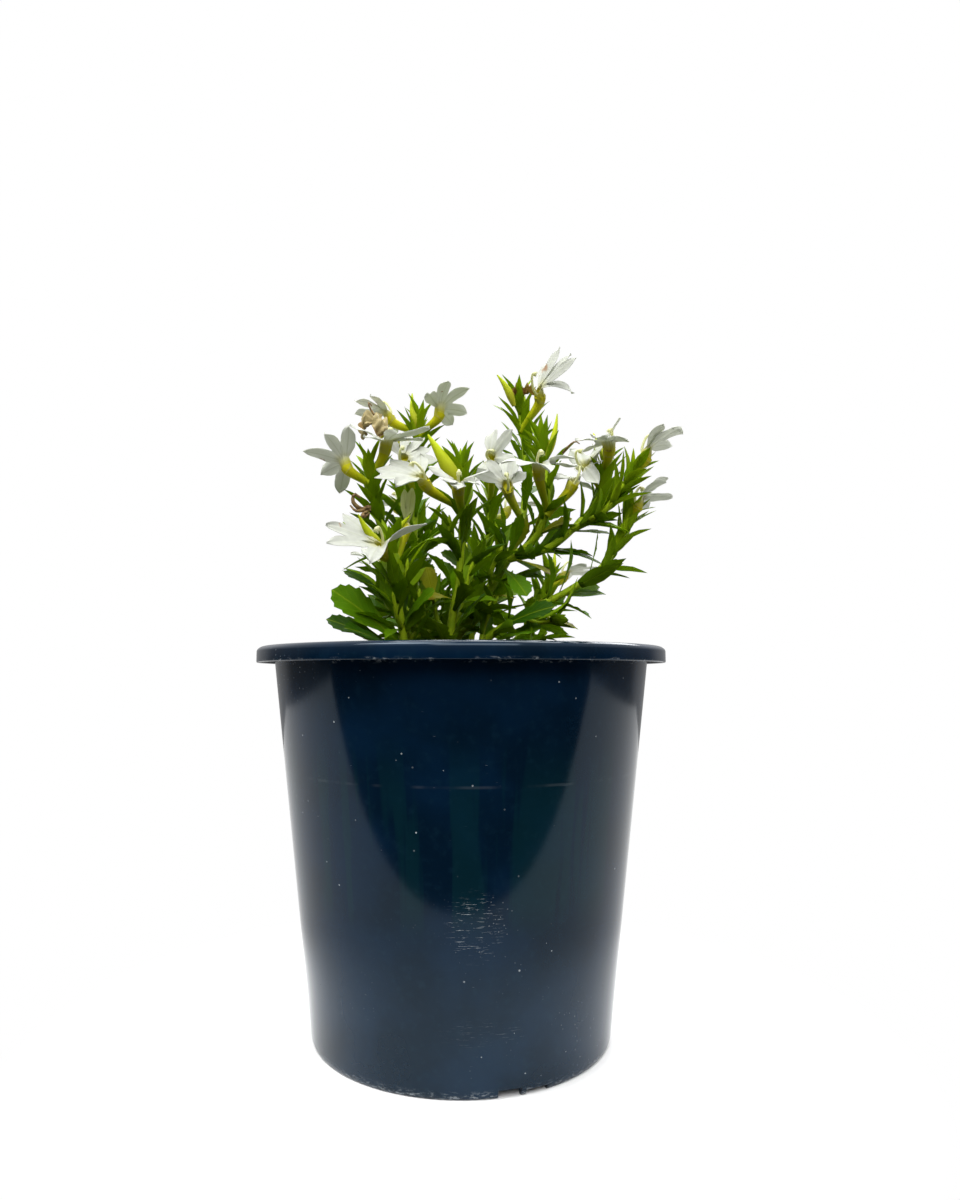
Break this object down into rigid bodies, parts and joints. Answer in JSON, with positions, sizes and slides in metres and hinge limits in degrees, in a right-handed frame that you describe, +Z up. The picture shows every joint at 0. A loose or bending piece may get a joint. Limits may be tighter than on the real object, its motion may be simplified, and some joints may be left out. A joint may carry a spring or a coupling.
{
  "type": "potted fan flower",
  "caption": "Bushy fan flower with white one-sided fan blooms, toothed leaves and upright leafy shoots, standing in a glossy dark navy round nursery pot.",
  "frame": {"origin": "middle of the pot's foot, on the ground it stands on", "axes": "+Z up along the pot's axis; -Y towards the viewer of the picture, +X to the viewer's right"},
  "size_m": [0.14, 0.14, 0.239],
  "materials": {
    "pot": "glossy, near-black navy injection-moulded plastic, scuffed along the lower edge",
    "mix": "rough, damp peat and bark crumbs",
    "foliage": "fleshy green leaves and stems, semi-matt with a soft sheen",
    "petals": "thin, soft white petals, matt and slightly translucent",
    "young_petals": "half-open petals, pale green-white, matt",
    "spent_petals": "dry, crumpled, cream to brown"
  },
  "bodies": {
    "root": {"bloom_01": "petals", "bloom_02": "petals", "bloom_03": "petals", "bloom_04": "petals", "bloom_05": "petals", "bloom_06": "petals", "bloom_07": "petals", "bloom_08": "petals", "bloom_09": "petals", "bloom_10": "petals", "bloom_11": "petals", "bloom_12": "petals", "bloom_13": "petals", "bloom_14": "petals", "bloom_15": "petals", "bloom_16": "petals", "bloom_17": "petals", "bloom_18": "young_petals", "bloom_19": "petals", "bloom_20": "petals", "bloom_21": "petals", "bloom_22": "petals", "bloom_23": "petals", "bloom_24": "petals", "pot": "pot", "potting_mix": "mix", "spent_bloom": "spent_petals", "stem_back_left": "foliage", "stem_back_right": "foliage", "stem_centre": "foliage", "stem_front_left": "foliage", "stem_left": "foliage", "stem_low_right": "foliage", "stem_rear_left": "foliage", "stem_rear_middle": "foliage", "stem_rear_right": "foliage", "stem_right": "foliage", "stem_tall_left": "foliage"}
  },
  "joints": []
}
